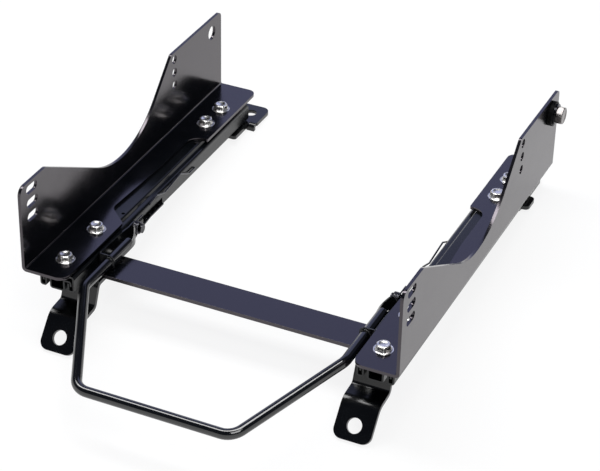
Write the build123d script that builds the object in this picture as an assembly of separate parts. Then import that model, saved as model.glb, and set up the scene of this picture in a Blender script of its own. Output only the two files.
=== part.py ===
from build123d import *
import os
from math import radians, sin, tan

os.makedirs("parts", exist_ok=True)

# All sizes are in millimetres. X runs across the seat, +Y to the rear, +Z up.
# The origin is midway between the two rear floor holes, on the floor under the rear feet.
# Every side part is modelled on the +X side and mirrored for the -X side.

# Main spacings
rail_x = 167.5              # rail centre from the middle of the seat
rail_front_y = -399.0
rail_rear_y = -17.0
side_slot_setback = 5.0     # front column of seat fixings behind the rail's front end
side_hole_spacing = 290.0   # front column to rear column
floor_hole_inset = 13.5     # rear floor hole inboard of the rail centre

# Sheet thicknesses
rail_sheet = 1.8
bracket_sheet = 3.2
foot_sheet = 4.0
bar_sheet = 4.0
latch_sheet = 1.6

# Slide travel from the pose that is modelled
travel_forward = 140.0
travel_rearward = 30.0

# Clearances
running_gap = 0.3           # between curved faces that slide past each other
seat_gap = 0.05             # round a pin, rivet or bolt in its own hole
rail_foot_gap = 1.0         # moving rail above the feet
lever_rail_gap = 1.0        # latch lever beside the moving rail

# Lower rail section, measured from the rail centre
lower_base_half = 8.3
lower_height = 13.3
lower_hook_reach = 15.9
lower_leg_drop = 5.9
lower_bend_radius = 1.9     # middle of the sheet

# Upper rail section, measured from the rail centre
upper_half = 19.0
upper_height = 21.3
upper_web_half = 10.2
upper_step_run = 1.6
upper_step_drop = 3.2
upper_step_radius = 1.2
upper_shoulder_radius = 2.4
upper_lip_half = 11.5
upper_lip_height = 9.5
upper_lip_radius = 1.9
web_hole_diameter = 3.6
left_front_web_hole_reach = 119.0   # behind the rail's front end
left_rear_web_hole_reach = 106.0    # in front of the rail's rear end
left_web_hole_inset = 7.3           # from the rail centre
right_web_hole_reach = 142.0        # in front of the rail's rear end
right_web_hole_inset = 0.0

# Side bracket
bracket_overhang = 20.3     # sheet in front of the slots
bracket_length = 419.5
bracket_height = 92.0
bracket_inner_offset = 18.0     # flange edge inboard of the rail centre
bracket_outer_offset = 29.2     # plate outer face outboard of the rail centre
bracket_bend_radius = 3.1       # middle of the sheet
bracket_dip_radius = 101.5
bracket_dip_corner_height = 1.85    # where the two slanted edges would meet
bracket_dip_corner_reach = 97.3     # in front of the rear holes
bracket_dip_front_reach = 26.7      # top end of the front slanted edge, behind the slots
bracket_dip_rear_reach = 6.2        # top end of the rear slanted edge, in front of the rear holes
flange_cut_front_reach = 21.5       # behind the front bolts
flange_cut_rear_reach = 31.0        # in front of the rear bolts
flange_cut_slant_length = 21.0
flange_cut_straight_length = 70.0
flange_cut_overshoot = 5.2          # deepest point beyond the rail centre
side_hole_heights = (53.7, 68.7, 83.7)
side_slot_length = 19.5
side_slot_width = 9.0
side_hole_diameter = 9.5
belt_hole_diameter = 16.0
belt_hole_inset = 22.2      # from the plate's rear edge
belt_hole_height = 75.7
front_bolt_reaches = (17.0, 77.5)   # behind the rail's front end
rear_bolt_reaches = (66.5, 30.5)    # in front of the rail's rear end

# M8 flange bolt and weld nut
bolt_diameter = 8.0
bolt_hole_diameter = 9.0
bolt_skirt_diameter = 19.5
bolt_skirt_height = 1.8
bolt_hex_across = 13.0
bolt_head_height = 7.2
bolt_crown_height = 4.5     # height of the head's rounded-off upper part
bolt_dimple_diameter = 6.5
bolt_dimple_depth = 0.8
nut_diameter = 11.0
nut_height = 4.8
bolt_end_beyond_nut = 0.6

# Feet
foot_width = 38.0
foot_inset = 11.1           # centre of the front foot inboard of the rail centre
foot_bend_radius = 6.0
foot_corner_radius = 9.0
front_foot_overlap = 80.0       # under the front end of the rail
front_foot_flat_length = 51.6
front_foot_step_length = 9.0
front_foot_step_z = -20.4
front_foot_shelf_length = 22.3
front_foot_shelf_z = -22.4
front_foot_tip_length = 23.6
front_foot_tip_z = -50.8
front_foot_hole_diameter = 15.0
front_foot_hole_inset = 15.0    # from the lower edge of the slanted face
rear_foot_overlap = 39.0        # under the rear end of the rail
rear_foot_rear_y = 17.5
rear_foot_step_y = -18.0        # front edge of the wide part
rear_foot_inset = 22.0          # inboard edge of the narrow part from the rail centre
rear_foot_wide_inset = 30.0     # inboard edge of the wide part
rear_foot_reach = 16.5          # outboard edge
rear_foot_lug_reach = 24.0
rear_foot_lug_length = 22.0
rear_foot_lug_setback = 6.0
rear_foot_tab_width = 9.0
rear_foot_tab_drop = 4.0
rear_foot_hole_diameter = 13.0
rivet_diameter = 6.0
rivet_head_diameter = 7.8
rivet_head_height = 1.2
rivet_inset = 9.0               # from the ends of the feet and the rail
stop_pin_diameter = 6.0

# Cross bar
bar_width = 38.0
bar_setback = 5.0               # in front of the front feet's rear ends
bar_end_inset = 24.0            # from the rail centre

# Handle
tube_diameter = 10.5
tube_wall = 1.5
tube_bend_radius = 18.0
handle_leg_inset = 30.3         # from the rail centre
handle_leg_z = 16.8
handle_taper = 57.5             # the bar's ends inboard of the legs
handle_reach = 117.0            # the bar in front of the rails
handle_drop = 24.8              # the bar below the legs

# Latch lever
latch_pivot_setback = 114.0     # behind the front ends of the rails
latch_pivot_z = 18.0
lever_rim_height = 7.0          # above the pivot
lever_ear_length = 8.0          # behind the pivot
lever_bar_gap = 3.3             # room above the cross bar for turning
collar_reach = 72.0             # in front of the pivot
collar_length = 13.0
collar_depth = 2.8              # how far the collar reaches down past the tube's middle
tray_reach = 61.0               # in front of the pivot
tray_end_reach = 13.4           # in front of the pivot
tray_wall_radius = 5.0
handle_end_reach = 22.0         # end of the tube in front of the pivot
latch_pin_diameter = 6.0
latch_pin_length = 11.0         # between its head and the lever's outer face
latch_pin_head_diameter = 9.0
latch_pin_head_width = 1.4
finger_width = 5.0
finger_pitch = 10.0
finger_count = 4
finger_reach = 45.5             # middle of the row behind the pivot
finger_rest_drop = 0.3          # fingers hang this far below the lower rail's hook edge
comb_end_width = 2.6
notch_depth = 3.1               # above the hook edge
notch_clearance = 0.9

# Springs
coil_wire_diameter = 1.5
coil_diameter = 11.4            # to the middle of the wire
coil_pitch = 1.4
coil_turns = 5
coil_leg = 15.0
wire_diameter = 1.8
wire_stand_off = 1.6            # wire centre inboard of the rail wall
wire_hook_reach = 136.0         # behind the latch pivot
wire_hook_z = 13.8
wire_bend_radius = 1.3
wire_bend_reaches = (100.0, 85.0, 68.0, 33.0, 14.0)     # in front of the hook
wire_bend_rises = (9.8, 12.2, 6.4, 10.2, 0.6)           # above the hook

# Balls
ball_diameter = 3.3
ball_upper_offset = 15.0
ball_lower_offset = 15.25
cage_sheet = 0.6
cage_pocket_diameter = 4.2

# Seat-belt anchor
anchor_spacer_diameter = 26.0
anchor_spacer_width = 4.4
anchor_washer_diameter = 22.0
anchor_washer_width = 1.0
anchor_hex_across = 17.0
anchor_head_width = 9.6
anchor_tip_width = 1.4
anchor_shank_diameter = 11.0
anchor_nut_width = 6.0

# Levels and places that follow from the sizes above
lower_bottom_z = foot_sheet
lower_top_z = lower_bottom_z + lower_height
hook_edge_z = lower_top_z - lower_leg_drop
upper_bottom_z = foot_sheet + rail_foot_gap
upper_top_z = upper_bottom_z + upper_height
shoulder_under_z = upper_top_z - upper_step_drop - rail_sheet
upper_inner_wall_x = rail_x - upper_half
flange_top_z = upper_top_z + bracket_sheet
nut_under_z = upper_top_z - rail_sheet - nut_height
side_slot_y = rail_front_y + side_slot_setback
bracket_front_y = side_slot_y - bracket_overhang
bracket_rear_y = bracket_front_y + bracket_length
bracket_top_z = upper_top_z + bracket_height
side_hole_y = side_slot_y + side_hole_spacing
flange_bolt_ys = [rail_front_y + reach for reach in front_bolt_reaches]
flange_bolt_ys += [rail_rear_y - reach for reach in rear_bolt_reaches]
left_web_hole_ys = (rail_front_y + left_front_web_hole_reach, rail_rear_y - left_rear_web_hole_reach)
right_web_hole_ys = (rail_rear_y - right_web_hole_reach,)
plate_outer_x = rail_x + bracket_outer_offset
plate_inner_x = plate_outer_x - bracket_sheet
flange_edge_x = rail_x - bracket_inner_offset
belt_hole_y = bracket_rear_y - belt_hole_inset
belt_hole_z = upper_top_z + belt_hole_height
floor_hole_x = rail_x - floor_hole_inset
foot_centre_x = rail_x - foot_inset
front_foot_rear_y = rail_front_y + front_foot_overlap
rear_foot_front_y = rail_rear_y - rear_foot_overlap
bar_rear_y = front_foot_rear_y - bar_setback
bar_front_y = bar_rear_y - bar_width
rivet_ys = (
    bar_front_y + rivet_inset / 2,
    front_foot_rear_y - rivet_inset,
    rear_foot_front_y + rivet_inset,
    rail_rear_y - rivet_inset,
)
latch_pivot_y = rail_front_y + latch_pivot_setback
wire_hook_y = latch_pivot_y + wire_hook_reach
handle_leg_x = rail_x - handle_leg_inset
handle_end_y = latch_pivot_y - handle_end_reach
tray_inner_x = handle_leg_x - tube_diameter / 2
tray_front_y = latch_pivot_y - tray_reach
tray_rear_y = latch_pivot_y - tray_end_reach
lever_rim_z = latch_pivot_z + lever_rim_height
lever_outer_x = upper_inner_wall_x - lever_rail_gap
finger_middle_y = latch_pivot_y + finger_reach
comb_half_length = (finger_pitch * (finger_count - 1) + finger_width) / 2
comb_front_y = finger_middle_y - comb_half_length
comb_rear_y = finger_middle_y + comb_half_length
finger_bottom_z = hook_edge_z - finger_rest_drop - latch_sheet


def mirrored_points(half):
    """Join points on the +X side to their mirror images, as one open line."""
    return [(-u, v) for u, v in reversed(half)] + list(half)


def mirrored_radii(half):
    """Join bend radii on the +X side to those of the mirrored side."""
    return list(reversed(half)) + list(half)


def folded(points, radii, thickness):
    """Section of a folded sheet from its middle line and the radius at each bend."""
    return trace(FilletPolyline(*points, radius=radii), thickness)


def rounded_outline(points, radii):
    """Closed outline with a radius at each corner."""
    return make_face(FilletPolyline(*points, radius=radii, close=True))


def along_y(section, front_y, rear_y):
    """Extrude a section drawn in X and Z from front_y to rear_y."""
    return extrude(Plane.XZ.offset(-rear_y) * section, rear_y - front_y)


def along_x(section, low_x, high_x):
    """Extrude a section drawn in Y and Z from low_x to high_x."""
    return extrude(Plane.YZ.offset(low_x) * section, high_x - low_x)


def along_z(section, low_z, high_z):
    """Extrude a section drawn in X and Y from low_z to high_z."""
    return extrude(Plane.XY.offset(low_z) * section, high_z - low_z)


def upright_rod(x, y, diameter, low_z, high_z):
    """Round rod along Z."""
    return Pos(x, y, low_z) * extrude(Circle(diameter / 2), high_z - low_z)


def cross_rod(y, z, diameter, low_x, high_x):
    """Round rod along X."""
    return along_x(Pos(y, z) * Circle(diameter / 2), low_x, high_x)


def bent_wire(points, radius):
    """Straight lines through points in space, with an arc at each corner."""
    corners = [Vector(*point) for point in points]
    edges = []
    start = corners[0]
    for before, corner, after in zip(corners, corners[1:], corners[2:]):
        back = (before - corner).normalized()
        forth = (after - corner).normalized()
        half_angle = radians(back.get_angle(forth)) / 2
        reach = radius / tan(half_angle)
        arc_start = corner + back * reach
        arc_end = corner + forth * reach
        arc_middle = corner + (back + forth).normalized() * (radius / sin(half_angle) - radius)
        edges.append(Line(start, arc_start))
        edges.append(ThreePointArc(arc_start, arc_middle, arc_end))
        start = arc_end
    edges.append(Line(start, corners[-1]))
    return Wire(edges)


def swept_rod(path, section):
    """Sweep a section drawn about its own centre along a wire."""
    return sweep(Plane(origin=path @ 0, z_dir=path % 0) * section, path=path)


def save(shape, node):
    export_step(shape, f"parts/{node}.step")


def save_pair(shape, name):
    """Save the +X part as the right one and its mirror image as the left one."""
    save(shape, f"right_{name}")
    save(mirror(shape, about=Plane.YZ), f"left_{name}")


def stop_pin_ys():
    """Places where the pins stop the second and third weld nuts at the ends of travel."""
    reach = nut_diameter / 2 + stop_pin_diameter / 2 + running_gap
    rear_stop = flange_bolt_ys[1] + travel_rearward + reach
    front_stop = flange_bolt_ys[2] - travel_forward - reach
    return rear_stop, front_stop


def lower_rail():
    """Narrow channel whose sides fold out and down into two hooks."""
    half = rail_sheet / 2
    middle_line = mirrored_points([
        (lower_base_half - half, lower_bottom_z + half),
        (lower_base_half - half, lower_top_z - half),
        (lower_hook_reach - half, lower_top_z - half),
        (lower_hook_reach - half, hook_edge_z),
    ])
    section = Pos(rail_x, 0) * folded(middle_line, [lower_bend_radius] * 6, rail_sheet)
    rail = along_y(section, rail_front_y, rail_rear_y)
    for y in rivet_ys + stop_pin_ys():
        rail -= upright_rod(rail_x, y, rivet_diameter + 2 * seat_gap, 0, lower_top_z)
    return rail - latch_notches()


def latch_notches():
    """Row of notches in the inboard hook edge, one finger pitch apart over the whole travel."""
    count = round((travel_forward + travel_rearward) / finger_pitch) + finger_count
    first_y = finger_middle_y - travel_forward - finger_pitch * (finger_count - 1) / 2
    inboard = rail_x - lower_hook_reach - 1
    notch = Box(rail_sheet + 2, finger_width + notch_clearance, notch_depth + 1,
                align=(Align.MIN, Align.CENTER, Align.MAX))
    top = hook_edge_z + notch_depth
    return [Pos(inboard, first_y + finger_pitch * i, top) * notch for i in range(count)]


def upper_rail(web_hole_inset, web_hole_ys):
    """Wide channel, open below, with a raised web and lips that curl in and up."""
    half = rail_sheet / 2
    shoulder = upper_top_z - upper_step_drop
    middle_line = mirrored_points([
        (upper_web_half, upper_top_z - half),
        (upper_web_half + upper_step_run, shoulder - half),
        (upper_half - half, shoulder - half),
        (upper_half - half, upper_bottom_z + half),
        (upper_lip_half + half, upper_bottom_z + half),
        (upper_lip_half + half, upper_bottom_z + upper_lip_height),
    ])
    radii = mirrored_radii([
        upper_step_radius, upper_step_radius, upper_shoulder_radius, upper_lip_radius, upper_lip_radius,
    ])
    section = Pos(rail_x, 0) * folded(middle_line, radii, rail_sheet)
    rail = along_y(section, rail_front_y, rail_rear_y)
    for y in flange_bolt_ys:
        rail -= upright_rod(rail_x, y, bolt_hole_diameter, shoulder_under_z, upper_top_z + 1)
    for y in web_hole_ys:
        hole_x = rail_x - web_hole_inset
        rail -= upright_rod(hole_x, y, web_hole_diameter, shoulder_under_z, upper_top_z + 1)
    wall = (upper_inner_wall_x - 1, upper_inner_wall_x + rail_sheet + 1)
    rail -= cross_rod(latch_pivot_y, latch_pivot_z, latch_pin_diameter + 2 * seat_gap, *wall)
    rail -= cross_rod(wire_hook_y, wire_hook_z, wire_diameter + 4 * seat_gap, *wall)
    return rail - finger_window()


def finger_window():
    """Opening in the inboard wall that lets the latch fingers reach the lower rail."""
    length = 2 * comb_half_length + 6
    low_z = upper_bottom_z + rail_sheet + running_gap
    high_z = hook_edge_z + notch_depth + 0.5
    window = Pos(upper_inner_wall_x + rail_sheet / 2, finger_middle_y, (low_z + high_z) / 2)
    return window * Box(rail_sheet + 2, length, high_z - low_z)


def bracket_side_outline():
    """Side view of the bracket in Y and Z, with one wide dip between its raised ends."""
    base = upper_top_z
    top = bracket_top_z
    points = [
        (bracket_front_y, base),
        (bracket_front_y, top),
        (side_slot_y + bracket_dip_front_reach, top),
        (side_hole_y - bracket_dip_corner_reach, base + bracket_dip_corner_height),
        (side_hole_y - bracket_dip_rear_reach, top),
        (bracket_rear_y, top),
        (bracket_rear_y, base),
    ]
    radii = [0, 9, 10, bracket_dip_radius, 5, 6, 0]
    return rounded_outline(points, radii)


def bracket_plan_outline():
    """Plan of the bracket in X and Y, with the long cut-out in the flange's inboard edge."""
    inner = flange_edge_x
    outer = plate_outer_x
    cut_front = flange_bolt_ys[1] + flange_cut_front_reach
    cut_rear = flange_bolt_ys[2] - flange_cut_rear_reach
    points = [
        (outer, bracket_front_y),
        (inner, bracket_front_y),
        (inner, cut_front),
        (rail_x + flange_cut_overshoot, cut_front + flange_cut_slant_length),
        (rail_x, cut_rear - flange_cut_straight_length),
        (rail_x, cut_rear),
        (inner, cut_rear),
        (inner, bracket_rear_y),
        (outer, bracket_rear_y),
    ]
    radii = [0, 11, 4, 12, 40, 14, 1.5, 9, 0]
    return rounded_outline(points, radii)


def side_bracket():
    """Folded angle trimmed in side view and in plan, then drilled."""
    half = bracket_sheet / 2
    middle_line = [
        (flange_edge_x, upper_top_z + half),
        (plate_outer_x - half, upper_top_z + half),
        (plate_outer_x - half, bracket_top_z),
    ]
    section = folded(middle_line, [bracket_bend_radius], bracket_sheet)
    bracket = along_y(section, bracket_front_y, bracket_rear_y)
    bracket &= along_x(bracket_side_outline(), flange_edge_x - 1, plate_outer_x + 1)
    bracket &= along_z(bracket_plan_outline(), upper_top_z, bracket_top_z)
    for y in flange_bolt_ys:
        bracket -= upright_rod(rail_x, y, bolt_hole_diameter, upper_top_z - 1, flange_top_z + 1)
    through = (plate_inner_x - 1, plate_outer_x + 1)
    for height in side_hole_heights:
        z = upper_top_z + height
        slot = Pos(side_slot_y, z) * SlotOverall(side_slot_length, side_slot_width)
        bracket -= along_x(slot, *through)
        bracket -= cross_rod(side_hole_y, z, side_hole_diameter, *through)
    return bracket - cross_rod(belt_hole_y, belt_hole_z, belt_hole_diameter, *through)


def flange_bolt():
    """Hexagon flange bolt standing on the plane Z = 0, with its shank below."""
    length = flange_top_z - nut_under_z + bolt_end_beyond_nut
    skirt = extrude(Circle(bolt_skirt_diameter / 2), bolt_skirt_height)
    skirt = chamfer(skirt.edges().group_by(Axis.Z)[-1], 0.9)
    hexagon = RegularPolygon(bolt_hex_across / 2, 6, major_radius=False)
    head = extrude(hexagon, bolt_head_height)
    crown = Pos(0, 0, bolt_head_height) * Cone(
        bolt_hex_across, bolt_hex_across / 2 - 1, bolt_crown_height,
        align=(Align.CENTER, Align.CENTER, Align.MAX))
    head &= crown + extrude(Circle(bolt_hex_across), bolt_head_height - bolt_crown_height)
    dimple = upright_rod(0, 0, bolt_dimple_diameter, bolt_head_height - bolt_dimple_depth, bolt_head_height)
    shank = upright_rod(0, 0, bolt_diameter, -length, 0)
    return skirt + head + shank - dimple


def flange_bolts():
    return Compound([Pos(rail_x, y, flange_top_z) * flange_bolt() for y in flange_bolt_ys])


def weld_nuts():
    """Round weld nuts under the raised web of the upper rail."""
    ring = Circle(nut_diameter / 2) - Circle(bolt_diameter / 2 + seat_gap)
    return Compound([Pos(rail_x, y, nut_under_z) * extrude(ring, nut_height) for y in flange_bolt_ys])


def front_foot():
    """Strip that lies under the rail, steps down in front and slants to the floor."""
    flat_end_y = front_foot_rear_y - front_foot_flat_length
    step_y = flat_end_y - front_foot_step_length
    shelf_y = step_y - front_foot_shelf_length
    middle_line = [
        (front_foot_rear_y, foot_sheet / 2),
        (flat_end_y, foot_sheet / 2),
        (step_y, front_foot_step_z),
        (shelf_y, front_foot_shelf_z),
        (shelf_y - front_foot_tip_length, front_foot_tip_z),
    ]
    strip = folded(middle_line, [foot_bend_radius] * 3, foot_sheet)
    foot = along_x(strip, foot_centre_x - foot_width / 2, foot_centre_x + foot_width / 2)
    low_edges = foot.faces().sort_by(Axis.Z)[0].edges().sort_by(SortBy.LENGTH)[:2]
    foot = fillet(low_edges, foot_corner_radius)
    foot -= front_floor_plane(middle_line) * Cylinder(front_foot_hole_diameter / 2, 3 * foot_sheet)
    for y in rivet_ys[:2]:
        foot -= upright_rod(rail_x, y, rivet_diameter + 2 * seat_gap, -1, foot_sheet + 1)
    return foot


def front_floor_plane(middle_line):
    """Plane on the slanted face at the front floor hole."""
    bend = Vector(0, *middle_line[-2])
    tip = Vector(0, *middle_line[-1])
    downhill = (tip - bend).normalized()
    centre = tip - downhill * front_foot_hole_inset + Vector(foot_centre_x, 0, 0)
    return Plane(origin=centre, x_dir=(1, 0, 0), z_dir=downhill.cross(Vector(-1, 0, 0)))


def rear_foot():
    """Flat plate under the rail's rear end, with the floor hole and a tab turned down."""
    strip_x = rail_x - rear_foot_inset
    wide_x = rail_x - rear_foot_wide_inset
    outer_x = rail_x + rear_foot_reach
    lug_x = rail_x + rear_foot_lug_reach
    lug_front_y = rear_foot_front_y + rear_foot_lug_setback
    lug_rear_y = lug_front_y + rear_foot_lug_length
    points = [
        (strip_x, rear_foot_front_y),
        (outer_x, rear_foot_front_y),
        (outer_x, lug_front_y),
        (lug_x, lug_front_y),
        (lug_x, lug_rear_y),
        (outer_x, lug_rear_y),
        (outer_x, rear_foot_rear_y),
        (wide_x, rear_foot_rear_y),
        (wide_x, rear_foot_step_y),
        (strip_x, rear_foot_step_y),
    ]
    foot = along_z(rounded_outline(points, [3, 3, 2, 5, 5, 2, 10, 9, 1.5, 1.5]), 0, foot_sheet)
    foot -= upright_rod(floor_hole_x, 0, rear_foot_hole_diameter, -1, foot_sheet + 1)
    for y in rivet_ys[2:]:
        foot -= upright_rod(rail_x, y, rivet_diameter + 2 * seat_gap, -1, foot_sheet + 1)
    tab_line = [
        (rear_foot_step_y + foot_sheet, foot_sheet / 2),
        (rear_foot_step_y - foot_sheet, foot_sheet / 2),
        (rear_foot_step_y - foot_sheet, -rear_foot_tab_drop),
    ]
    tab = folded(tab_line, [foot_sheet * 0.85], foot_sheet)
    return foot + along_x(tab, wide_x + 1, wide_x + 1 + rear_foot_tab_width)


def foot_rivets():
    """Rivets with round heads inside the lower rail, flush with the underside of the feet."""
    head_z = lower_bottom_z + rail_sheet
    rivets = []
    for y in rivet_ys:
        shank = upright_rod(rail_x, y, rivet_diameter, 0, head_z)
        head = upright_rod(rail_x, y, rivet_head_diameter, head_z, head_z + rivet_head_height)
        rivets.append(shank + head)
    return Compound(rivets)


def travel_stops():
    """Upright pins in the lower rail that the weld nuts meet at the ends of travel."""
    top = nut_under_z + nut_height / 2
    pins = [upright_rod(rail_x, y, stop_pin_diameter, lower_bottom_z, top) for y in stop_pin_ys()]
    return Compound(pins)


def cross_bar():
    """Flat strip that ties the two front feet together."""
    outline = RectangleRounded(2 * (rail_x - bar_end_inset), bar_width, 3)
    outline = Pos(0, bar_rear_y - bar_width / 2) * outline
    return along_z(outline, foot_sheet, foot_sheet + bar_sheet)


def release_handle():
    """Bent tube across the front whose two legs run back level and end in domes."""
    dome_y = handle_end_y - tube_diameter / 2
    leg = [
        (handle_leg_x, dome_y, handle_leg_z),
        (handle_leg_x, rail_front_y, handle_leg_z),
        (handle_leg_x - handle_taper, rail_front_y - handle_reach, handle_leg_z - handle_drop),
    ]
    path = bent_wire(leg + [(-x, y, z) for x, y, z in reversed(leg)], tube_bend_radius)
    ring = Circle(tube_diameter / 2) - Circle(tube_diameter / 2 - tube_wall)
    handle = swept_rod(path, ring)
    dome = Sphere(tube_diameter / 2, arc_size1=0, align=(Align.CENTER, Align.CENTER, Align.MIN))
    for x in (handle_leg_x, -handle_leg_x):
        handle += Plane(origin=(x, dome_y, handle_leg_z), z_dir=(0, 1, 0)) * dome
    return handle


def latch_lever():
    """Open tray beside the handle leg, with a collar over the leg, a pivot ear and a comb."""
    bar_clear_z = foot_sheet + bar_sheet + lever_bar_gap
    floor_front_y = bar_rear_y + 2
    cheek_points = [
        (tray_front_y, lever_rim_z),
        (latch_pivot_y + lever_ear_length, lever_rim_z),
        (latch_pivot_y + lever_ear_length, finger_bottom_z),
        (floor_front_y, finger_bottom_z),
        (floor_front_y - 3, bar_clear_z),
        (tray_front_y, bar_clear_z),
    ]
    cheek = rounded_outline(cheek_points, [2, 6, 0, 1, 1, 2])
    lever = along_x(cheek, lever_outer_x - latch_sheet, lever_outer_x)
    lever += along_z(comb_outline(floor_front_y), finger_bottom_z, finger_bottom_z + latch_sheet)
    lever += tray_end() + leg_collar()
    lever += latch_fingers()
    pin_hole = latch_pin_diameter + 2 * seat_gap
    return lever - cross_rod(latch_pivot_y, latch_pivot_z, pin_hole, 0, lever_outer_x + 1)


def comb_outline(front_y):
    """Plan of the tray floor and, behind it, the plate that carries the fingers."""
    points = [
        (lever_outer_x, front_y),
        (tray_inner_x, front_y),
        (tray_inner_x, tray_rear_y),
        (lever_outer_x - 9, tray_rear_y + 27),
        (lever_outer_x - 4.5, comb_front_y - 6),
        (lever_outer_x - comb_end_width, comb_rear_y),
        (lever_outer_x, comb_rear_y),
    ]
    return rounded_outline(points, [0, 2, tray_wall_radius, 6, 8, 1, 0])


def tray_end():
    """Rounded rear wall of the tray, from the cheek to the centre side of the tube's end."""
    half = latch_sheet / 2
    wall_y = tray_rear_y - half
    near_x = tray_inner_x + half
    path = [
        (lever_outer_x - half, wall_y - 3 * tray_wall_radius),
        (lever_outer_x - half, wall_y),
        (near_x, wall_y),
        (near_x, handle_end_y + seat_gap),
    ]
    return along_z(folded(path, [tray_wall_radius] * 2, latch_sheet), finger_bottom_z, lever_rim_z)


def leg_collar():
    """Saddle that wraps over the handle leg at the front of the tray."""
    reach = tube_diameter / 2 + seat_gap + latch_sheet / 2
    low_z = handle_leg_z - collar_depth
    top_z = handle_leg_z + reach
    outer_x = lever_outer_x - latch_sheet / 2
    path = [
        (handle_leg_x - reach, low_z),
        (handle_leg_x - reach, top_z),
        (outer_x, top_z),
        (outer_x, low_z),
    ]
    section = folded(path, [tube_diameter / 2] * 2, latch_sheet)
    front_y = latch_pivot_y - collar_reach
    return along_y(section, front_y, front_y + collar_length)


def latch_fingers():
    """Fingers that stand out from the comb towards the lower rail."""
    tip_x = rail_x - lower_hook_reach + rail_sheet - 0.5
    finger = Box(tip_x - lever_outer_x + latch_sheet, finger_width, latch_sheet,
                 align=(Align.MAX, Align.CENTER, Align.MIN))
    first_y = comb_front_y + finger_width / 2
    return [Pos(tip_x, first_y + finger_pitch * i, finger_bottom_z) * finger for i in range(finger_count)]


def latch_pin():
    """Headed pin that the lever turns on, set in the upper rail's inboard wall."""
    head_x = lever_outer_x - latch_pin_length
    end_x = upper_inner_wall_x + rail_sheet
    pin = cross_rod(latch_pivot_y, latch_pivot_z, latch_pin_diameter, head_x, end_x)
    return pin + cross_rod(latch_pivot_y, latch_pivot_z, latch_pin_head_diameter,
                           head_x - latch_pin_head_width, head_x)


def latch_spring():
    """Coil round the latch pin, drawn as touching rings, with one leg that runs back."""
    wire = RegularPolygon(coil_wire_diameter / 2, 6)
    section = Pos(0, coil_diameter / 2) * wire
    for i in range(1, coil_turns):
        section += Pos(coil_pitch * i, coil_diameter / 2) * wire
    coil = revolve(Plane.XZ * section, axis=Axis.X)
    leg_x = coil_pitch * (coil_turns - 1)
    leg = Pos(leg_x, 0, coil_diameter / 2) * Rot(-90, 0, 0) * extrude(wire, coil_leg)
    start_x = lever_outer_x - latch_pin_length + coil_wire_diameter
    return Pos(start_x, latch_pivot_y, latch_pivot_z) * (coil + leg)


def ball_ys(front_y, rear_y):
    """One ball near each end of a cage."""
    return (front_y + 6, rear_y - 6)


cage_front_y = rail_front_y + travel_forward / 2 + 5
cage_rear_y = rail_rear_y - travel_forward / 2 - 5
short_cage_front_y = comb_rear_y + travel_rearward / 2 + 5
ball_upper_z = (lower_top_z + shoulder_under_z) / 2
ball_lower_z = (upper_bottom_z + rail_sheet + hook_edge_z) / 2
cage_offset = (lower_hook_reach + upper_half - rail_sheet) / 2


def ball_cage(side, front_y, rear_y):
    """Thin strip with open pockets for the balls; side is +1 outboard and -1 inboard."""
    x = rail_x + side * cage_offset
    middle = Pos(x, (front_y + rear_y) / 2, (ball_lower_z + ball_upper_z) / 2)
    strip = middle * Box(cage_sheet, rear_y - front_y, ball_upper_z - ball_lower_z)
    for y in ball_ys(front_y, rear_y):
        for z in (ball_lower_z, ball_upper_z):
            strip -= cross_rod(y, z, cage_pocket_diameter, x - 1, x + 1)
    return strip


def balls(side, front_y, rear_y):
    """Upper and lower balls of one cage."""
    upper_x = rail_x + side * ball_upper_offset
    lower_x = rail_x + side * ball_lower_offset
    rows = ((upper_x, ball_upper_z), (lower_x, ball_lower_z))
    return [Pos(x, y, z) * Sphere(ball_diameter / 2) for x, z in rows for y in ball_ys(front_y, rear_y)]


def rail_wire():
    """Bowed wire along the upper rail's inboard wall, with its rear end hooked into the wall."""
    x = upper_inner_wall_x - wire_stand_off
    bends = zip(wire_bend_reaches, wire_bend_rises)
    points = [(x, wire_hook_y - reach, wire_hook_z + rise) for reach, rise in bends]
    points.append((x, wire_hook_y, wire_hook_z))
    points.append((x + wire_stand_off + rail_sheet, wire_hook_y, wire_hook_z))
    return swept_rod(bent_wire(points, wire_bend_radius), Circle(wire_diameter / 2))


def anchor_spacer():
    ring = Circle(anchor_spacer_diameter / 2) - Circle(anchor_shank_diameter / 2 + seat_gap)
    ring = Pos(belt_hole_y, belt_hole_z) * ring
    spacer = along_x(ring, plate_outer_x, plate_outer_x + anchor_spacer_width)
    return chamfer(spacer.edges().filter_by(GeomType.CIRCLE).sort_by(SortBy.RADIUS)[-2:], 0.5)


def anchor_washers():
    """Two plain washers between the spacer and the bolt head."""
    ring = Circle(anchor_washer_diameter / 2) - Circle(anchor_shank_diameter / 2 + seat_gap)
    first_x = plate_outer_x + anchor_spacer_width
    washers = []
    for i in range(2):
        low_x = first_x + i * (anchor_washer_width + running_gap)
        washer = along_x(Pos(belt_hole_y, belt_hole_z) * ring, low_x, low_x + anchor_washer_width)
        washers.append(washer)
    return Compound(washers)


def anchor_bolt():
    """Hexagon bolt through the belt hole of the +X bracket, with a nut inside the plate."""
    head_x = plate_outer_x + anchor_spacer_width + 2 * anchor_washer_width + running_gap
    head_end_x = head_x + anchor_head_width
    nut_x = plate_inner_x - anchor_nut_width
    hexagon = RegularPolygon(anchor_hex_across / 2, 6, major_radius=False)
    hexagon = Pos(belt_hole_y, belt_hole_z) * hexagon
    head = along_x(hexagon, head_x, head_end_x)
    tip_diameter = anchor_hex_across - 1.2
    tip = cross_rod(belt_hole_y, belt_hole_z, tip_diameter, head_end_x, head_end_x + anchor_tip_width)
    shank = cross_rod(belt_hole_y, belt_hole_z, anchor_shank_diameter, nut_x - 1, head_x)
    nut = along_x(hexagon, nut_x, plate_inner_x)
    return head + tip + shank + nut


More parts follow.
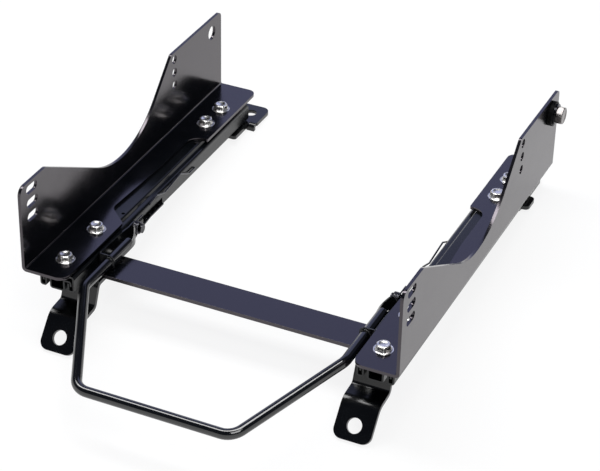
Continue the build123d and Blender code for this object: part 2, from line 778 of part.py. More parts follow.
save_pair(lower_rail(), "lower_rail")
save(upper_rail(right_web_hole_inset, right_web_hole_ys), "right_upper_rail")
left_upper_rail = upper_rail(left_web_hole_inset, left_web_hole_ys)
save(mirror(left_upper_rail, about=Plane.YZ), "left_upper_rail")
save_pair(side_bracket(), "side_bracket")
save_pair(flange_bolts(), "flange_bolts")
save_pair(weld_nuts(), "weld_nuts")
save_pair(front_foot(), "front_foot")
save_pair(rear_foot(), "rear_foot")
save_pair(foot_rivets(), "foot_rivets")
save_pair(travel_stops(), "travel_stops")
save(cross_bar(), "cross_bar")
save(release_handle(), "release_handle")
save_pair(latch_lever(), "latch_lever")
save_pair(latch_pin(), "latch_pin")
save_pair(latch_spring(), "latch_spring")
save_pair(rail_wire(), "rail_wire")
save_pair(ball_cage(1, cage_front_y, cage_rear_y), "outer_ball_cage")
save_pair(ball_cage(-1, short_cage_front_y, cage_rear_y), "inner_ball_cage")
all_balls = balls(1, cage_front_y, cage_rear_y) + balls(-1, short_cage_front_y, cage_rear_y)
save_pair(Compound(all_balls), "balls")
save(anchor_spacer(), "anchor_spacer")
save(anchor_washers(), "anchor_washers")
save(anchor_bolt(), "anchor_bolt")
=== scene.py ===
import bisect
import math
import random

import bmesh
import bpy
from mathutils import Matrix, Vector


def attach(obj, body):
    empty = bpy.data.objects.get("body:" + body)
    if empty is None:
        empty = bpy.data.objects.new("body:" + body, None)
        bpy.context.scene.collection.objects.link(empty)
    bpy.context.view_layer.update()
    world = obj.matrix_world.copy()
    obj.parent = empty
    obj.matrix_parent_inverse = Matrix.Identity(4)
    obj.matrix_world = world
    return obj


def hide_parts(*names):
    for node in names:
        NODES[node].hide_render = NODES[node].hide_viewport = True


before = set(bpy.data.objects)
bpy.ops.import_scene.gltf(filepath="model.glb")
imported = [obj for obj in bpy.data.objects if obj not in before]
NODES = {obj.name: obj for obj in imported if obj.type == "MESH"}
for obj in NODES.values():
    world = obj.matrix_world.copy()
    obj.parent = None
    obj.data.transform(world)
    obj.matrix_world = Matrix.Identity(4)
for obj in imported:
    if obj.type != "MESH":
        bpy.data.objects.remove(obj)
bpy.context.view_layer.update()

SIDES = (("left", -1), ("right", 1))
MM = 0.001      # one millimetre in metres


# Camera

CAMERA_AZIMUTH = math.radians(24.193)
CAMERA_ELEVATION = math.radians(32.664)
CAMERA_ROLL = math.radians(1.327)
CAMERA_SHIFT_M = (-0.0815, -0.0688, 1.9462)     # object origin seen from the camera
ORIGIN_IN_PHOTO_FRAME = Vector((0.0009, 0.394, -0.0295))
FOCAL_PX = 2076.2
IMAGE_PX = 600
SENSOR_MM = 36.0


def make_camera():
    """Camera as solved from corners and hole centres in the photograph."""
    a, e, roll = CAMERA_AZIMUTH, CAMERA_ELEVATION, CAMERA_ROLL
    back = Vector((math.sin(a) * math.cos(e), -math.cos(a) * math.cos(e), math.sin(e)))
    right = Vector((math.cos(a), math.sin(a), 0.0))
    up = back.cross(right)
    right_rolled = math.cos(roll) * right + math.sin(roll) * up
    up_rolled = -math.sin(roll) * right + math.cos(roll) * up
    turn = Matrix((right_rolled, up_rolled, back)).transposed()
    tx, ty, tz = CAMERA_SHIFT_M
    place = turn @ Vector((-tx, -ty, tz)) - ORIGIN_IN_PHOTO_FRAME
    data = bpy.data.cameras.new("camera")
    data.sensor_width = SENSOR_MM
    data.lens = FOCAL_PX / IMAGE_PX * SENSOR_MM
    data.clip_end = 100.0
    camera = bpy.data.objects.new("camera", data)
    camera.matrix_world = Matrix.Translation(place) @ turn.to_4x4()
    bpy.context.scene.collection.objects.link(camera)
    bpy.context.scene.camera = camera


# Materials

class Graph:
    """Small helper that adds nodes to a material and links them."""

    def __init__(self, name):
        self.material = bpy.data.materials.new(name)
        self.material.use_nodes = True
        self.tree = self.material.node_tree
        self.tree.nodes.clear()
        self.output = self.tree.nodes.new("ShaderNodeOutputMaterial")

    def node(self, kind, inputs=None, **settings):
        made = self.tree.nodes.new(kind)
        for key, value in settings.items():
            setattr(made, key, value)
        for key, value in (inputs or {}).items():
            if isinstance(value, bpy.types.NodeSocket):
                self.tree.links.new(value, made.inputs[key])
            else:
                made.inputs[key].default_value = value
        return made

    def ramp(self, factor, stops):
        """Blend between two stops, each a position and a colour."""
        made = self.node("ShaderNodeValToRGB", {"Fac": factor})
        for element, (position, value) in zip(made.color_ramp.elements, stops):
            element.position = position
            element.color = (*value, 1.0)
        return made.outputs["Color"]

    def finish(self, shader):
        self.tree.links.new(shader, self.output.inputs["Surface"])
        return self.material


def coated_metal(name, colour, dust, roughness, specular=0.5, tint=(1.0, 1.0, 1.0)):
    """Black paint with a fine orange-peel skin, faint dust and duller patches."""
    g = Graph(name)
    where = g.node("ShaderNodeTexCoord").outputs["Object"]
    peel = g.node("ShaderNodeTexNoise", {"Vector": where, "Scale": 900.0, "Detail": 3.0})
    cloud = g.node("ShaderNodeTexNoise", {"Vector": where, "Scale": 28.0, "Detail": 5.0, "Roughness": 0.6})
    colour_out = g.ramp(cloud.outputs["Fac"], [(0.35, colour), (0.75, dust)])
    low, high = roughness
    rough_out = g.ramp(cloud.outputs["Fac"], [(0.3, (low,) * 3), (0.8, (high,) * 3)])
    skin = g.node("ShaderNodeBump", {"Height": peel.outputs["Fac"], "Strength": 0.05, "Distance": 0.0004})
    shader = g.node("ShaderNodeBsdfPrincipled", {
        "Base Color": colour_out, "Roughness": rough_out, "Normal": skin.outputs["Normal"],
        "Specular IOR Level": specular, "Specular Tint": (*tint, 1.0)})
    return g.finish(shader.outputs["BSDF"])


def bare_metal(name, colour, dark, roughness):
    """Plated or plain steel with fine scratches and small stains."""
    g = Graph(name)
    where = g.node("ShaderNodeTexCoord").outputs["Object"]
    grain = g.node("ShaderNodeTexNoise", {"Vector": where, "Scale": 420.0, "Detail": 4.0})
    cloud = g.node("ShaderNodeTexNoise", {"Vector": where, "Scale": 90.0, "Detail": 4.0})
    colour_out = g.ramp(cloud.outputs["Fac"], [(0.35, dark), (0.6, colour)])
    low, high = roughness
    rough_out = g.ramp(grain.outputs["Fac"], [(0.3, (low,) * 3), (0.75, (high,) * 3)])
    skin = g.node("ShaderNodeBump", {"Height": grain.outputs["Fac"], "Strength": 0.08, "Distance": 0.0003})
    shader = g.node("ShaderNodeBsdfPrincipled", {
        "Base Color": colour_out, "Roughness": rough_out, "Normal": skin.outputs["Normal"], "Metallic": 1.0})
    return g.finish(shader.outputs["BSDF"])


paint = coated_metal(
    "black_paint", (0.0004, 0.0009, 0.0014), (0.0012, 0.0017, 0.0024), (0.14, 0.24),
    specular=0.9, tint=(1.0, 0.90, 0.99))
tube_paint = coated_metal(
    "tube_paint", (0.0012, 0.0016, 0.0022), (0.0025, 0.0028, 0.0036), (0.08, 0.14), specular=0.9)
rail_paint = coated_metal(
    "rail_paint", (0.0010, 0.0016, 0.0022), (0.0034, 0.0040, 0.0050), (0.18, 0.30), specular=0.42)
latch_paint = coated_metal(
    "latch_paint", (0.0024, 0.0030, 0.0040), (0.0070, 0.0074, 0.0086), (0.16, 0.28))
foot_paint = coated_metal(
    "foot_paint", (0.0006, 0.0010, 0.0014), (0.0016, 0.0020, 0.0026), (0.15, 0.26), specular=0.55)
spacer_black = coated_metal(
    "spacer_black", (0.0010, 0.0012, 0.0014), (0.003, 0.003, 0.0034), (0.45, 0.6), specular=0.15)
zinc = bare_metal("zinc", (0.86, 0.85, 0.82), (0.58, 0.57, 0.55), (0.22, 0.36))
belt_steel = bare_metal("belt_steel", (0.22, 0.205, 0.20), (0.09, 0.085, 0.085), (0.16, 0.28))
black_steel = bare_metal("black_steel", (0.055, 0.055, 0.060), (0.03, 0.03, 0.034), (0.16, 0.28))
dark_wire = bare_metal("dark_wire", (0.10, 0.10, 0.11), (0.05, 0.05, 0.06), (0.2, 0.35))
cage_metal = bare_metal("cage_metal", (0.45, 0.45, 0.47), (0.3, 0.3, 0.32), (0.3, 0.45))
ball_metal = bare_metal("ball_metal", (0.82, 0.82, 0.84), (0.7, 0.7, 0.72), (0.05, 0.12))

FINISH = {
    "side_bracket": paint, "front_foot": foot_paint, "rear_foot": foot_paint, "upper_rail": rail_paint,
    "lower_rail": rail_paint, "latch_lever": latch_paint, "flange_bolts": zinc, "weld_nuts": zinc,
    "latch_pin": black_steel, "foot_rivets": zinc, "travel_stops": zinc, "latch_spring": dark_wire,
    "rail_wire": dark_wire, "outer_ball_cage": cage_metal, "inner_ball_cage": cage_metal, "balls": ball_metal,
}
finishes = {f"{side}_{name}": material for side, sign in SIDES for name, material in FINISH.items()}
finishes.update(
    cross_bar=paint, release_handle=tube_paint, anchor_bolt=black_steel, anchor_washers=black_steel,
    anchor_spacer=spacer_black)

SHEET_EDGE, THIN_EDGE, LEVER_EDGE = 0.4 * MM, 0.2 * MM, 0.25 * MM
EDGE_ANGLE = math.radians(40)       # rounded above this angle
SHARP_ANGLE = math.radians(32)      # shaded as an edge above this angle
EDGE_ROUND = {"side_bracket": SHEET_EDGE, "rear_foot": SHEET_EDGE, "cross_bar": SHEET_EDGE,
              "upper_rail": THIN_EDGE, "lower_rail": THIN_EDGE}


def round_edges(obj, width):
    """Round the sharp edges of an object that is seen, without a change to its mesh."""
    bevel = obj.modifiers.new("round", "BEVEL")
    bevel.width = width
    bevel.segments = 2
    bevel.limit_method = "ANGLE"
    bevel.angle_limit = EDGE_ANGLE


def dress(node_name, obj):
    """Give a CAD node its finish and softly rounded edges."""
    material = finishes[node_name]
    for slot in obj.material_slots:
        slot.material = material
    kind = node_name.removeprefix("left_").removeprefix("right_")
    if kind in EDGE_ROUND:
        weld = obj.modifiers.new("weld", "WELD")
        weld.merge_threshold = 1e-6
        round_edges(obj, EDGE_ROUND[kind])


for name, obj in NODES.items():
    dress(name, obj)


# Pieces finer than the CAD model

WELD_STEP, WELD_STRAY, WELD_RIPPLE_TURN = 0.0005, 0.06, 0.9     # metres, millimetres, radians a step


def mm(x, y, z):
    """Point in metres from millimetres."""
    return Vector((x, y, z)) * MM


def tube_piece(name, points, radii, material, body, sides=12):
    """Round wire or bead along points, with its own radius at each point."""
    vertices = []
    faces = []
    last = len(points) - 1
    normal = None
    for i, point in enumerate(points):
        tangent = (points[min(i + 1, last)] - points[max(i - 1, 0)]).normalized()
        if normal is None:
            normal = tangent.orthogonal().normalized()
        normal = (normal - tangent * normal.dot(tangent)).normalized()
        across = tangent.cross(normal)
        for k in range(sides):
            angle = 2 * math.pi * k / sides
            vertices.append(point + (math.cos(angle) * normal + math.sin(angle) * across) * radii[i])
    for i in range(last):
        for k in range(sides):
            a = i * sides + k
            b = i * sides + (k + 1) % sides
            faces.append((a, b, b + sides, a + sides))
    faces.append(tuple(reversed(range(sides))))
    faces.append(tuple(range(last * sides, (last + 1) * sides)))
    mesh = bpy.data.meshes.new(name)
    mesh.from_pydata(vertices, [], faces)
    mesh.polygons.foreach_set("use_smooth", [True] * len(mesh.polygons))
    mesh.materials.append(material)
    piece = bpy.data.objects.new(name, mesh)
    bpy.context.scene.collection.objects.link(piece)
    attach(piece, body)
    return piece


def weld_bead(name, path, radius, material, body):
    """Bead with the overlapping ripples of a hand weld, along straight lines through path."""
    rng = random.Random(name)
    points = []
    radii = []
    for start, end in zip(path, path[1:]):
        steps = max(2, round((end - start).length / WELD_STEP))
        for i in range(steps):
            stray = mm(*(rng.uniform(-WELD_STRAY, WELD_STRAY) for k in range(3)))
            points.append(start.lerp(end, i / steps) + stray)
            ripple = abs(math.sin(len(points) * WELD_RIPPLE_TURN))
            radii.append(radius * (0.82 + 0.22 * ripple + rng.uniform(-0.04, 0.04)))
    radii[0] = radii[-1] = radius * 0.3
    radii[1] = radii[-2] = radius * 0.7
    tube_piece(name, points, radii, material, body, sides=10)


def link_mesh(name, bm, material, body, bevel=0.0):
    """Turn a bmesh in millimetres into a piece in metres that rides on a body."""
    bmesh.ops.recalc_face_normals(bm, faces=bm.faces)
    mesh = bpy.data.meshes.new(name)
    bm.to_mesh(mesh)
    bm.free()
    mesh.transform(Matrix.Scale(MM, 4))
    mesh.polygons.foreach_set("use_smooth", [True] * len(mesh.polygons))
    mesh.set_sharp_from_angle(angle=SHARP_ANGLE)
    mesh.materials.append(material)
    piece = bpy.data.objects.new(name, mesh)
    bpy.context.scene.collection.objects.link(piece)
    if bevel:
        round_edges(piece, bevel)
    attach(piece, body)
    return piece


def add_turned(bm, place, rings, sides=72, turn=0.0):
    """Closed turned form; a ring is its height, its radius and, on a hexagon, the width across flats."""
    loops = []
    for height, radius, across in rings:
        loop = []
        for k in range(sides):
            angle = 2 * math.pi * k / sides
            reach = radius
            if across:
                off_flat = (angle + math.pi / 6) % (math.pi / 3) - math.pi / 6
                reach = min(radius, across / 2 / math.cos(off_flat))
            point = Vector((reach * math.cos(angle + turn), reach * math.sin(angle + turn), height))
            loop.append(bm.verts.new(place @ point))
        loops.append(loop)
    for low, high in zip(loops, loops[1:]):
        for k in range(sides):
            bm.faces.new((low[k], low[(k + 1) % sides], high[(k + 1) % sides], high[k]))
    bm.faces.new(list(reversed(loops[0])))
    bm.faces.new(loops[-1])


def add_prism(bm, outline, place):
    """Straight prism: place turns an outline point and the end, 0 or 1, into a point in space."""
    low = [bm.verts.new(place(u, v, 0)) for u, v in outline]
    high = [bm.verts.new(place(u, v, 1)) for u, v in outline]
    bm.faces.new(low)
    bm.faces.new(high)
    for k in range(len(outline)):
        after = (k + 1) % len(outline)
        bm.faces.new((low[k], low[after], high[after], high[k]))


def add_wall(bm, stations, thickness, sign):
    """Upright sheet wall; each station is x, y, its lower level and its upper level."""
    rows = []
    last = len(stations) - 1
    for i, (x, y, low, high) in enumerate(stations):
        before, after = stations[max(i - 1, 0)], stations[min(i + 1, last)]
        along = Vector((after[0] - before[0], after[1] - before[1], 0)).normalized()
        off = Vector((along.y, -along.x, 0)) * thickness / 2
        centre = Vector((x, y, 0))
        corners = [centre - off, centre + off]
        row = [(corners[0], low), (corners[1], low), (corners[1], high), (corners[0], high)]
        rows.append([bm.verts.new((sign * c.x, c.y, z)) for c, z in row])
    for a, b in zip(rows, rows[1:]):
        for k in range(4):
            bm.faces.new((a[k], a[(k + 1) % 4], b[(k + 1) % 4], b[k]))
    bm.faces.new(rows[0])
    bm.faces.new(list(reversed(rows[-1])))


def smooth_line(points, steps=6):
    """Catmull-Rom curve through points of any size."""
    ends = [points[0]] + list(points) + [points[-1]]
    line = []
    for a, b, c, d in zip(ends, ends[1:], ends[2:], ends[3:]):
        for i in range(steps):
            t = i / steps
            line.append(tuple(
                0.5 * (2 * q + (r - p) * t + (2 * p - 5 * q + 4 * r - s) * t * t
                       + (3 * q - p - 3 * r + s) * t ** 3)
                for p, q, r, s in zip(a, b, c, d)))
    line.append(tuple(points[-1]))
    return line


def round_points(centre_u, centre_v, radius, start, sweep, steps):
    """Points from an angle through a sweep, without the last one of a full circle."""
    count = steps if sweep >= 2 * math.pi else steps + 1
    angles = [start + sweep * k / steps for k in range(count)]
    return [(centre_u + radius * math.cos(a), centre_v + radius * math.sin(a)) for a in angles]


# Bolts, in millimetres

RAIL_X = 167.5
FLANGE_TOP_Z = 28.5
FLANGE_BOLT_YS = (-382.0, -321.5, -83.5, -47.5)
FLANGE_BOLT_RINGS = [
    (-10.4, 3.3, 0), (-9.7, 4.0, 0), (0.0, 4.0, 0),
    (0.0, 9.4, 0), (0.35, 9.75, 0), (0.95, 9.75, 0), (1.2, 9.5, 0),
    (1.3, 8.9, 0), (1.15, 8.5, 0), (1.3, 8.1, 0),
    (2.1, 7.45, 13.6), (2.5, 7.4, 13.0), (5.4, 7.4, 13.0), (6.2, 6.95, 13.0), (6.8, 6.35, 13.0),
    (7.15, 5.6, 13.0), (7.2, 5.1, 0), (7.05, 4.5, 0), (6.6, 3.5, 0), (6.2, 2.2, 0), (6.1, 0.6, 0),
]
BELT_BOLT_RINGS = [
    (-16.4, 4.6, 0), (-15.4, 5.45, 0), (0.0, 5.45, 0),
    (0.0, 7.9, 17.0), (0.35, 8.9, 17.0), (1.0, 9.7, 17.0), (6.0, 9.7, 17.0), (6.6, 9.1, 17.0),
    (7.0, 8.3, 17.0), (7.05, 7.7, 0), (6.8, 7.1, 0), (6.7, 1.0, 0),
]
BELT_NUT_RINGS = [(-14.4, 6.6, 15.0), (-13.9, 7.6, 15.0), (-13.6, 8.6, 15.0), (-9.9, 8.6, 15.0)]
BELT_BOLT_PLACE = Matrix.Translation((203.4, -17.0, 101.0)) @ Matrix.Rotation(math.pi / 2, 4, "Y")
BELT_BOLT_TURN, BELT_NUT_TURN = 0.62, 0.4
WASHER_LEVELS = (-2.3, -1.0)
SPACER_RIBS, SPACER_RIB_PITCH, SPACER_FIRST_RIB = 4, 1.0, -6.3


def flange_bolts(side, sign):
    """Bolts with a grooved flange, a chamfered hexagon and a dished top."""
    rng = random.Random(side)
    bm = bmesh.new()
    for y in FLANGE_BOLT_YS:
        place = Matrix.Translation((sign * RAIL_X, y, FLANGE_TOP_Z))
        add_turned(bm, place, FLANGE_BOLT_RINGS, turn=rng.uniform(0, math.pi / 3))
    piece = link_mesh(f"{side}_bolt_set", bm, zinc, f"{side}_carriage")
    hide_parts(f"{side}_flange_bolts")


def belt_bolt():
    """Belt anchor bolt with a chamfered hexagon, its shank and the thin nut behind the plate."""
    bm = bmesh.new()
    add_turned(bm, BELT_BOLT_PLACE, BELT_BOLT_RINGS, turn=BELT_BOLT_TURN)
    head = link_mesh("belt_bolt", bm, belt_steel, "right_carriage")
    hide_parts("anchor_bolt")
    bm = bmesh.new()
    add_turned(bm, BELT_BOLT_PLACE, BELT_NUT_RINGS, turn=BELT_NUT_TURN)
    link_mesh("belt_nut", bm, black_steel, "right_carriage")


def belt_washers():
    """Two plain washers and the ribbed black spacer between the bolt head and the plate."""
    bm = bmesh.new()
    for low in WASHER_LEVELS:
        add_turned(bm, BELT_BOLT_PLACE, [
            (low, 10.6, 0), (low + 0.15, 11.0, 0), (low + 0.8, 11.0, 0), (low + 1.0, 10.6, 0)])
    washers = link_mesh("belt_washers", bm, black_steel, "right_carriage")
    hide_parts("anchor_washers")
    bm = bmesh.new()
    rings = [(-6.7, 12.4, 0), (-6.5, 13.0, 0)]
    for i in range(SPACER_RIBS):
        low = SPACER_FIRST_RIB + i * SPACER_RIB_PITCH
        rings += [(low, 13.0, 0), (low + 0.2, 12.3, 0), (low + 0.5, 12.3, 0), (low + 0.7, 13.0, 0)]
    rings += [(-2.35, 12.2, 0), (-2.3, 10.0, 0)]
    add_turned(bm, BELT_BOLT_PLACE, rings)
    spacer = link_mesh("belt_spacer", bm, spacer_black, "right_carriage")
    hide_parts("anchor_spacer")


# Latch, in millimetres

LATCH_PIVOT_Y, LATCH_PIVOT_Z = -285.0, 18.0
COIL_RADIUS, COIL_WIRE, COIL_TURNS, COIL_STEPS = 5.7, 0.75, 4, 28
COIL_START_X, COIL_LENGTH, COIL_LEG, COIL_LEG_STEPS = 138.0, 5.6, 15.0, 6
TUBE_X, TUBE_Z, TUBE_RADIUS = 137.2, 16.8, 5.25
LEVER_OUTER_X, LEVER_SHEET, LEVER_FLOOR_Z = 147.5, 1.6, 9.5
LEVER_INNER_X = LEVER_OUTER_X - LEVER_SHEET
CHEEK_YZ = (
    [(-352.0, 11.5), (-325.5, 11.5), (-322.5, LEVER_FLOOR_Z), (-277.0, LEVER_FLOOR_Z)]
    + [(-283.0 + 6 * math.cos(a), 17.5 + 5 * math.sin(a)) for a in (0, 0.4, 0.8, 1.2, math.pi / 2)]
    + [(-294.0, 22.0), (-304.0, 23.4), (-330.0, 25.0), (-350.0, 25.0), (-352.0, 23.0)])
WALL_STATIONS = (
    (132.6, -352.0, 12.5, 16.0), (132.6, -338.0, 12.5, 16.0), (132.6, -322.0, 12.5, 16.5),
    (132.7, -314.0, 12.5, 18.5), (133.6, -307.0, 12.0, 21.5), (135.8, -301.0, 11.5, 24.0),
    (138.4, -296.6, 11.0, 26.2), (140.4, -294.6, 10.5, 26.8), (142.4, -293.2, 10.0, 22.5),
    (146.6, -291.6, LEVER_FLOOR_Z, 18.5))
FLOOR_XY = (
    (LEVER_INNER_X, -322.5), (135.5, -322.5), (136.0, -306.0), (138.5, -296.5), (141.5, -284.0),
    (143.6, -264.0), (144.9, -250.0), (144.9, -222.5), (LEVER_INNER_X + 1.0, -222.5))
FRONT_WALL_XZ = (
    (130.6, 11.8), (130.6, 20.0), (132.6, 23.4), (135.6, 24.6), (147.2, 24.8), (147.2, 11.8))
FINGERS, FIRST_FINGER_Y, FINGER_PITCH, FINGER_WIDTH = 4, -257.0, 10.0, 5.0
FINGER_END_X, FINGER_CORNER = 152.9, 0.4
COLLAR_Y, COLLAR_WELD_SETBACK, COLLAR_WELD_GAP = -351.2, 1.1, 0.3
COLLAR_WELD_START, COLLAR_WELD_SWEEP, COLLAR_WELD_STEPS = -30, 240, 12      # degrees
COLLAR_WELD_RADIUS = 1.0 * MM


def coil_spring(side, sign):
    """Wound wire round the latch pin, with one leg that runs back."""
    steps = COIL_TURNS * COIL_STEPS
    points = []
    for i in range(steps + 1):
        angle = 2 * math.pi * COIL_TURNS * i / steps
        x = COIL_START_X + COIL_LENGTH * i / steps
        points.append(mm(sign * x, LATCH_PIVOT_Y + COIL_RADIUS * math.sin(angle),
                         LATCH_PIVOT_Z + COIL_RADIUS * math.cos(angle)))
    end_x = COIL_START_X + COIL_LENGTH
    points += [mm(sign * end_x, LATCH_PIVOT_Y + COIL_LEG * i / COIL_LEG_STEPS, LATCH_PIVOT_Z + COIL_RADIUS)
               for i in range(1, COIL_LEG_STEPS + 1)]
    radii = [COIL_WIRE * MM] * len(points)
    piece = tube_piece(f"{side}_coil", points, radii, dark_wire, f"{side}_carriage")
    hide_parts(f"{side}_latch_spring")


def latch_cup(side, sign):
    """Lever pressed as an open cup: a cheek by the rail, a wall that tapers to its rear tip, and a comb."""
    bm = bmesh.new()
    add_prism(bm, CHEEK_YZ, lambda y, z, end: (sign * (LEVER_INNER_X + LEVER_SHEET * end), y, z))
    add_wall(bm, smooth_line(WALL_STATIONS), LEVER_SHEET, sign)
    add_prism(bm, FLOOR_XY, lambda x, y, end: (sign * x, y, LEVER_FLOOR_Z + LEVER_SHEET * end))
    shoulder_x = FINGER_END_X - FINGER_CORNER
    for i in range(FINGERS):
        low = FIRST_FINGER_Y + FINGER_PITCH * i
        high = low + FINGER_WIDTH
        finger = [(LEVER_INNER_X, low), (shoulder_x, low), (FINGER_END_X, low + FINGER_CORNER),
                  (FINGER_END_X, high - FINGER_CORNER), (shoulder_x, high), (LEVER_INNER_X, high)]
        add_prism(bm, finger, lambda x, y, end: (sign * x, y, LEVER_FLOOR_Z + LEVER_SHEET * end))
    front_y = COLLAR_Y - LEVER_SHEET / 2
    add_prism(bm, FRONT_WALL_XZ, lambda x, z, end: (sign * x, front_y + LEVER_SHEET * end, z))
    piece = link_mesh(f"{side}_latch_cup", bm, latch_paint, "latch", bevel=LEVER_EDGE)
    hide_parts(f"{side}_latch_lever")


def collar_welds(side, sign):
    """Beads round the handle leg where it passes through the cup's front wall."""
    reach = TUBE_RADIUS + COLLAR_WELD_GAP
    for label, y in (("front", COLLAR_Y - COLLAR_WELD_SETBACK), ("rear", COLLAR_Y + COLLAR_WELD_SETBACK)):
        path = []
        for i in range(COLLAR_WELD_STEPS + 1):
            angle = math.radians(COLLAR_WELD_START + COLLAR_WELD_SWEEP * i / COLLAR_WELD_STEPS)
            path.append(mm(sign * (TUBE_X - reach * math.cos(angle)), y, TUBE_Z + reach * math.sin(angle)))
        weld_bead(f"{side}_collar_weld_{label}", path, COLLAR_WELD_RADIUS, latch_paint, "latch")


# Cross bar and front feet, in millimetres

BAR_WELD_X, BAR_WELD_YS, BAR_WELD_Z, BAR_WELD_RADIUS = 143.7, (-358.0, -328.0), 4.4, 1.6 * MM
SPOT_WELD_X, SPOT_WELD_YS, SPOT_WELD_Z = 134.0, (-351.0, -335.0), 8.0
SPOT_WELD_RINGS = [
    (-0.3, 3.4, 0), (0.12, 3.2, 0), (0.25, 2.8, 0), (0.12, 2.3, 0), (-0.02, 1.8, 0), (-0.05, 0.5, 0)]
FOOT_CENTRE_X, FOOT_HALF_WIDTH, FOOT_SHEET = 156.4, 19.0, 4.0
FOOT_YZ = [(-319.0, 2.0), (-370.6, 2.0), (-379.6, -20.4), (-401.9, -22.4), (-425.5, -50.8)]
FOOT_BENDS = (6.0, 6.0, 15.0)
FOOT_CORNER, FOOT_HOLE_INSET, FOOT_HOLE_RADIUS = 9.0, 15.0, 7.5


def bar_joint(side, sign):
    """Weld bead at the cross bar's end and two spot welds through it."""
    path = [mm(sign * BAR_WELD_X, y, BAR_WELD_Z) for y in BAR_WELD_YS]
    weld_bead(f"{side}_bar_weld", path, BAR_WELD_RADIUS, foot_paint, "base")
    bm = bmesh.new()
    for y in SPOT_WELD_YS:
        place = Matrix.Translation((sign * SPOT_WELD_X, y, SPOT_WELD_Z))
        add_turned(bm, place, SPOT_WELD_RINGS, sides=36)
    link_mesh(f"{side}_spot_welds", bm, foot_paint, "base")


def bent_line(points, radii, steps=10):
    """Points with their upward normals along a line with a round bend at each inner corner."""
    line = []
    for i, point in enumerate(points):
        here = Vector(point)
        ways = [(here - Vector(points[i - 1])).normalized()] if i else []
        ways += [(Vector(points[i + 1]) - here).normalized()] if i + 1 < len(points) else []
        if len(ways) == 1:
            line.append((here, Vector((ways[0].y, -ways[0].x))))
            continue
        radius = radii[i - 1]
        turn = ways[0].angle_signed(ways[1])
        side = -1 if turn > 0 else 1
        start = here - ways[0] * (radius * math.tan(abs(turn) / 2))
        centre = start + side * radius * Vector((-ways[0].y, ways[0].x))
        for k in range(steps + 1):
            way = Matrix.Rotation(-turn * k / steps, 2) @ ways[0]
            line.append((centre - side * radius * Vector((-way.y, way.x)), Vector((way.y, -way.x))))
    return line


def flat_plate(loops, thickness):
    """Bmesh of a flat plate, centred on Z = 0, from its outline and its holes."""
    plan = bpy.data.curves.new("plate_plan", "CURVE")
    plan.dimensions = "2D"
    plan.fill_mode = "BOTH"
    plan.extrude = thickness / 2
    for loop in loops:
        spline = plan.splines.new("POLY")
        spline.points.add(len(loop) - 1)
        spline.points.foreach_set("co", [c for u, v in loop for c in (u, v, 0.0, 1.0)])
        spline.use_cyclic_u = True
    drawn = bpy.data.objects.new("plate_plan", plan)
    flat = bpy.data.meshes.new_from_object(drawn)
    bm = bmesh.new()
    bm.from_mesh(flat)
    bpy.data.objects.remove(drawn)
    bpy.data.curves.remove(plan)
    bpy.data.meshes.remove(flat)
    bmesh.ops.remove_doubles(bm, verts=bm.verts, dist=1e-4)
    return bm


def front_foot(side, sign):
    """Pressed foot whose shelf rolls over in a wide bend into the slanted face with the floor hole."""
    spots, normals = zip(*bent_line(FOOT_YZ, FOOT_BENDS))
    reaches = [0.0]
    for a, b in zip(spots, spots[1:]):
        reaches.append(reaches[-1] + (b - a).length)
    length = reaches[-1]
    quarter = math.pi / 2
    side_u = FOOT_HALF_WIDTH - FOOT_CORNER
    corner_v = length - FOOT_CORNER
    outline = [(-FOOT_HALF_WIDTH, 0.0), (FOOT_HALF_WIDTH, 0.0)]
    outline += round_points(side_u, corner_v, FOOT_CORNER, 0.0, quarter, 12)
    outline += round_points(-side_u, corner_v, FOOT_CORNER, quarter, quarter, 12)
    hole = round_points(0.0, length - FOOT_HOLE_INSET, FOOT_HOLE_RADIUS, 0.0, 2 * math.pi, 48)
    bm = flat_plate((outline, hole), FOOT_SHEET)
    for reach in reaches[1:-1]:
        bmesh.ops.bisect_plane(bm, geom=bm.verts[:] + bm.edges[:] + bm.faces[:], dist=1e-5,
                               plane_co=(0, reach, 0), plane_no=(0, 1, 0))
    for vert in bm.verts:
        u, v, lift = vert.co
        i = min(max(bisect.bisect_right(reaches, v + 1e-3) - 1, 0), len(reaches) - 2)
        share = min(max((v - reaches[i]) / (reaches[i + 1] - reaches[i]), 0.0), 1.0)
        spot = spots[i].lerp(spots[i + 1], share)
        normal = normals[i].lerp(normals[i + 1], share)
        vert.co = (sign * FOOT_CENTRE_X + u, spot.x + normal.x * lift, spot.y + normal.y * lift)
    foot = link_mesh(f"{side}_pressed_foot", bm, foot_paint, "base", bevel=SHEET_EDGE)
    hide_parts(f"{side}_front_foot")


for side, sign in SIDES:
    front_foot(side, sign)
    flange_bolts(side, sign)
    coil_spring(side, sign)
    latch_cup(side, sign)
    collar_welds(side, sign)
    bar_joint(side, sign)
belt_bolt()
belt_washers()


# Floor, backdrop and light

FLOOR_FRONT = Vector((0.0, -0.4240, -0.0523))
FLOOR_REAR = Vector((0.0, 0.0175, -0.0002))
FLOOR_GLOW = 0.86           # share of plain white for camera, glossy and transmission rays
WALL_TOP, ROOM_FROM = 0.16, 0.30    # sine of the elevation
ROOM_COLOUR = (0.055, 0.06, 0.08)
# name, place, aim, size in metres, power in watts, colour
LAMPS = (
    ("key", (1.2, -1.6, 2.2), (0, -0.2, 0), (1.4, 1.4), 30, (1.0, 1.0, 1.0)),
    ("top", (-0.7, -0.15, 2.6), (-0.7, -0.15, 0), (2.9, 0.9), 66, (1.0, 1.0, 1.0)),
    ("rear", (-0.95, 1.75, 1.35), (0, -0.2, 0), (2.2, 2.0), 10, (0.56, 0.61, 1.0)),
)


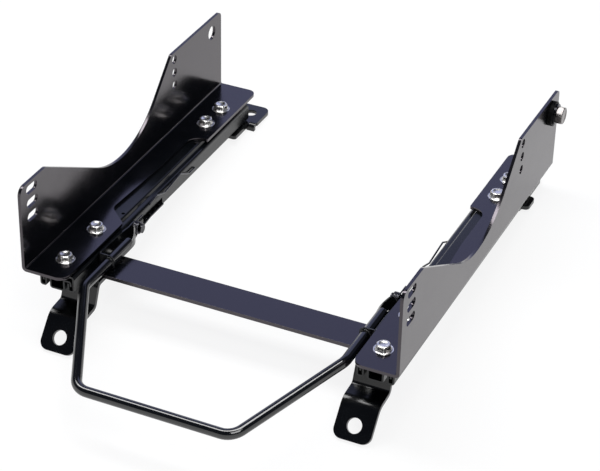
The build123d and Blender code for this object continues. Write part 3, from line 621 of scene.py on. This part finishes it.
def make_floor():
    """White floor that slopes through the undersides of the front and rear feet."""
    slope = math.atan2(FLOOR_REAR.z - FLOOR_FRONT.z, FLOOR_REAR.y - FLOOR_FRONT.y)
    bpy.ops.mesh.primitive_grid_add(x_subdivisions=8, y_subdivisions=8, size=60.0)
    floor = bpy.context.object
    floor.name = "floor"
    floor.matrix_world = Matrix.Translation(FLOOR_FRONT) @ Matrix.Rotation(slope, 4, "X")
    g = Graph("floor_white")
    paths = g.node("ShaderNodeLightPath")
    seen = paths.outputs["Is Camera Ray"]
    for kind in ("Is Glossy Ray", "Is Transmission Ray"):
        seen = g.node("ShaderNodeMath", {0: seen, 1: paths.outputs[kind]}, operation="MAXIMUM").outputs[0]
    share = g.node("ShaderNodeMath", {0: seen, 1: FLOOR_GLOW}, operation="MULTIPLY")
    plain = g.node("ShaderNodeBsdfDiffuse", {"Color": (1.0, 1.0, 1.0, 1.0)})
    white = g.node("ShaderNodeEmission", {"Color": (1.0, 1.0, 1.0, 1.0), "Strength": 1.0})
    mixed = g.node("ShaderNodeMixShader", {0: share.outputs[0], 1: plain.outputs[0], 2: white.outputs[0]})
    floor.data.materials.append(g.finish(mixed.outputs[0]))


def make_world():
    """White low walls all round, and a dim bluish room above them."""
    world = bpy.data.worlds.new("studio")
    bpy.context.scene.world = world
    world.use_nodes = True
    tree = world.node_tree
    tree.nodes.clear()
    where = tree.nodes.new("ShaderNodeTexCoord")
    split = tree.nodes.new("ShaderNodeSeparateXYZ")
    ramp = tree.nodes.new("ShaderNodeValToRGB")
    ramp.color_ramp.elements[0].position = WALL_TOP
    ramp.color_ramp.elements[0].color = (1.0, 1.0, 1.0, 1.0)
    ramp.color_ramp.elements[1].position = ROOM_FROM
    ramp.color_ramp.elements[1].color = (*ROOM_COLOUR, 1.0)
    background = tree.nodes.new("ShaderNodeBackground")
    output = tree.nodes.new("ShaderNodeOutputWorld")
    tree.links.new(where.outputs["Generated"], split.inputs[0])
    tree.links.new(split.outputs["Z"], ramp.inputs[0])
    tree.links.new(ramp.outputs["Color"], background.inputs["Color"])
    tree.links.new(background.outputs[0], output.inputs["Surface"])


def area_light(name, place, aim, size, power, colour):
    """Rectangular lamp turned towards aim."""
    data = bpy.data.lights.new(name, "AREA")
    data.shape = "RECTANGLE"
    data.size, data.size_y = size
    data.energy = power
    data.color = colour
    lamp = bpy.data.objects.new(name, data)
    lamp.location = place
    lamp.rotation_euler = (Vector(aim) - Vector(place)).to_track_quat("-Z", "Y").to_euler()
    bpy.context.scene.collection.objects.link(lamp)


make_camera()
make_floor()
make_world()
for lamp in LAMPS:
    area_light(*lamp)

bpy.context.scene.view_settings.view_transform = "Standard"
